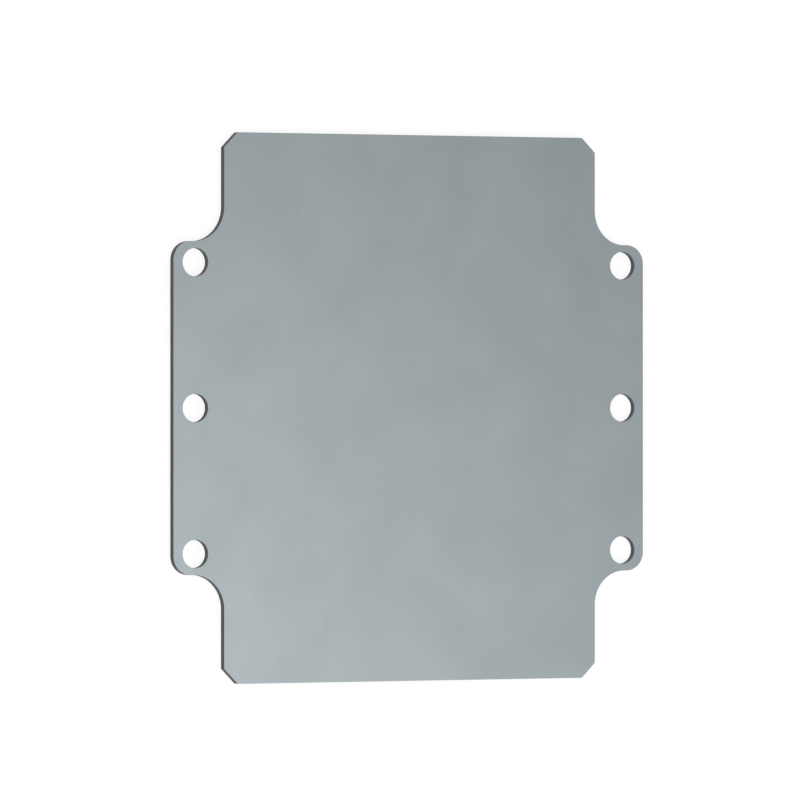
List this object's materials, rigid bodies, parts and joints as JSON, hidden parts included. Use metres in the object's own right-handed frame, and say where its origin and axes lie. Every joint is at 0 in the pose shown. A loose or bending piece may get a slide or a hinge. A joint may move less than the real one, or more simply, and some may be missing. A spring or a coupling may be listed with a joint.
{
  "type": "mounting plate",
  "caption": "Flat galvanised sheet-steel mounting plate with cut body corners, an ear on each side with a column of round screw holes, and rounded corner notches.",
  "frame": {"origin": "centre of the back face, on which the plate lies", "axes": "+X across the plate from ear to ear, +Y along the height of the plate (up when it hangs on a wall), +Z out of the front face"},
  "size_m": [0.154, 0.1572, 0.002],
  "materials": {
    "zinc_plated_steel": "smooth satin zinc plating on cold-rolled sheet, pale blue-grey with a faint cloudiness; the cut edges and hole walls are darker"
  },
  "bodies": {
    "root": {"mounting_plate": "zinc_plated_steel"}
  },
  "joints": []
}
